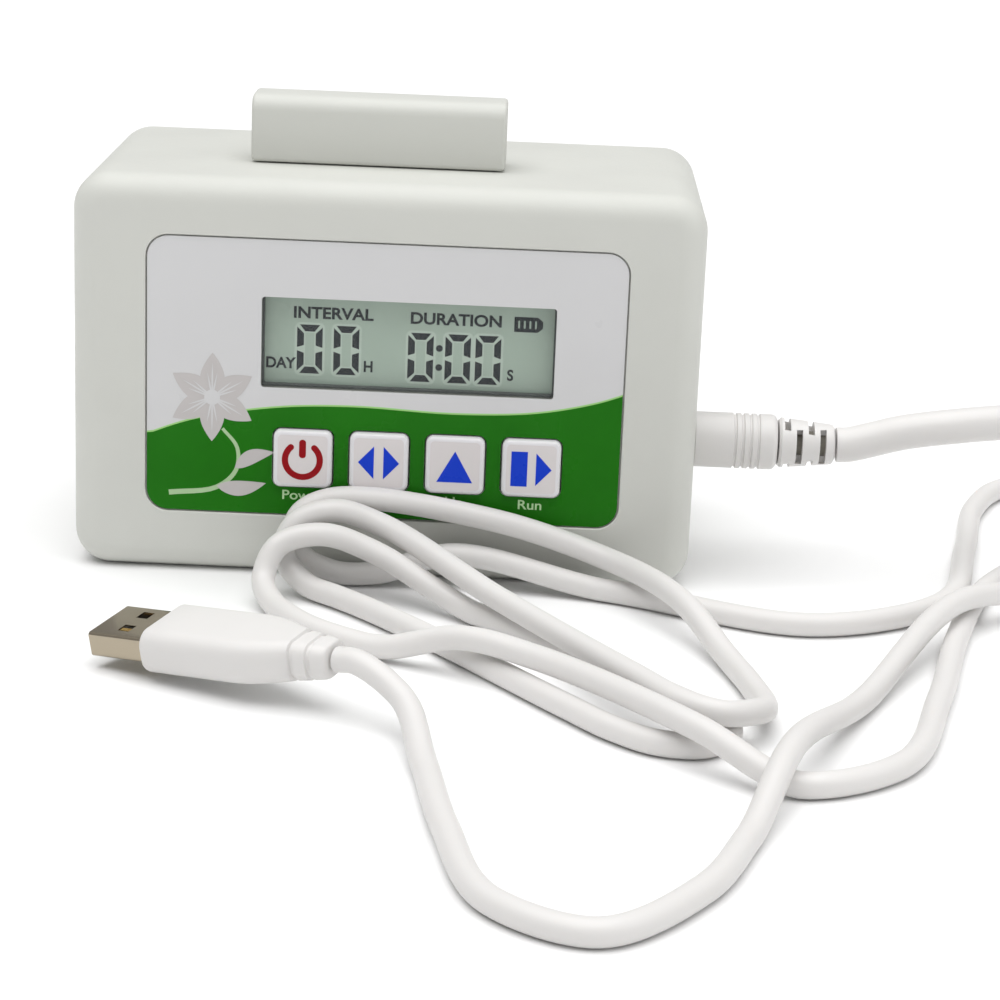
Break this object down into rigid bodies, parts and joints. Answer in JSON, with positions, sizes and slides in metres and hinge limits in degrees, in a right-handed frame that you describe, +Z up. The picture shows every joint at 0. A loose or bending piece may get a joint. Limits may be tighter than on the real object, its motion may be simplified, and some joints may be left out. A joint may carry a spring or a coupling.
{
  "type": "drip irrigation timer",
  "caption": "Bench-top drip irrigation timer with a display, keys, a built-in pump, hose barbs behind a top block, a battery bay and a USB power lead",
  "frame": {"origin": "middle of the case's underside, on the surface it stands on", "axes": "+Z up; +X to the right of the control panel, towards the power inlet; +Y from the control panel to the battery door"},
  "size_m": [0.2228, 0.2354, 0.0889],
  "materials": {
    "case_plastic": "satin moulded ABS, off-white",
    "key_plastic": "satin-gloss moulded caps with printed symbols",
    "printed_label": "printed polycarbonate film, pale grey over green",
    "clear_lens": "clear acrylic lens",
    "lcd_glass": "grey-green reflective display glass",
    "black_plastic": "matte black moulding",
    "circuit_board": "green solder mask",
    "motor_steel": "zinc-plated steel",
    "pump_plastic": "natural nylon",
    "black_rubber": "moulded rubber",
    "silicone_hose": "translucent silicone",
    "cell_sleeve": "printed shrink sleeve, plain",
    "contact_steel": "nickel-plated spring steel",
    "wire_insulation": "PVC insulation",
    "screw_steel": "zinc-plated self-tapping screw",
    "lead_plastic": "soft white PVC overmould and cable jacket",
    "nickel_plate": "nickel-plated steel"
  },
  "bodies": {
    "case": {"front_shell": "case_plastic", "rear_cover": "case_plastic", "case_screw_1": "screw_steel", "case_screw_2": "screw_steel", "case_screw_3": "screw_steel", "case_screw_4": "screw_steel", "front_label": "printed_label", "display_window": "clear_lens", "display_glass": "lcd_glass", "display_frame": "black_plastic", "control_board": "circuit_board", "switch_power": "black_plastic", "switch_setting": "black_plastic", "switch_increase": "black_plastic", "switch_start": "black_plastic", "hose_port_block": "case_plastic", "inlet_barb": "case_plastic", "outlet_barb": "case_plastic", "motor_can": "motor_steel", "motor_end_cap": "black_plastic", "pump_housing": "pump_plastic", "pump_wobble_plate": "black_plastic", "pump_diaphragm": "black_rubber", "pump_valve_plate": "pump_plastic", "pump_cover": "pump_plastic", "pump_saddle": "black_rubber", "inlet_hose": "silicone_hose", "outlet_hose": "silicone_hose", "battery_1": "cell_sleeve", "battery_2": "cell_sleeve", "battery_3": "cell_sleeve", "battery_4": "cell_sleeve", "contact_first_pair": "contact_steel", "contact_second_pair": "contact_steel", "contact_middle_pair": "contact_steel", "contact_minus": "contact_steel", "contact_plus": "contact_steel", "motor_lead": "wire_insulation", "battery_lead": "wire_insulation", "dc_jack": "black_plastic"},
    "power_key": {"key_power": "key_plastic"},
    "setting_key": {"key_setting": "key_plastic"},
    "increase_key": {"key_increase": "key_plastic"},
    "start_key": {"key_start": "key_plastic"},
    "door": {"battery_door": "case_plastic"},
    "rotor": {"pump_rotor": "motor_steel"},
    "power_lead": {"dc_plug_body": "lead_plastic", "dc_plug_barrel": "nickel_plate", "dc_plug_strain_relief": "lead_plastic", "dc_plug_boot": "lead_plastic", "power_cable": "lead_plastic", "usb_body": "lead_plastic", "usb_shell": "nickel_plate", "usb_tongue": "black_plastic"}
  },
  "joints": [
    {"name": "power_key_press", "type": "slide", "parent": "case", "child": "power_key", "axis": [0, 1, 0], "range_m": [0, 0.0005], "stiffness_N_per_m": 1500, "springref_m": -0.0002},
    {"name": "setting_key_press", "type": "slide", "parent": "case", "child": "setting_key", "axis": [0, 1, 0], "range_m": [0, 0.0005], "stiffness_N_per_m": 1500, "springref_m": -0.0002},
    {"name": "increase_key_press", "type": "slide", "parent": "case", "child": "increase_key", "axis": [0, 1, 0], "range_m": [0, 0.0005], "stiffness_N_per_m": 1500, "springref_m": -0.0002},
    {"name": "start_key_press", "type": "slide", "parent": "case", "child": "start_key", "axis": [0, 1, 0], "range_m": [0, 0.0005], "stiffness_N_per_m": 1500, "springref_m": -0.0002},
    {"name": "battery_door_hinge", "type": "hinge", "parent": "case", "child": "door", "pos_m": [0, 0.0309, 0.0091], "axis": [-1, 0, 0], "range_deg": [0, 75]},
    {"name": "pump_rotor_spin", "type": "hinge", "parent": "case", "child": "rotor", "pos_m": [0, -0.003, 0.05], "axis": [1, 0, 0], "continuous": true},
    {"name": "dc_plug_pull", "type": "slide", "parent": "case", "child": "power_lead", "axis": [1, 0, 0], "range_m": [0, 0.014]}
  ]
}
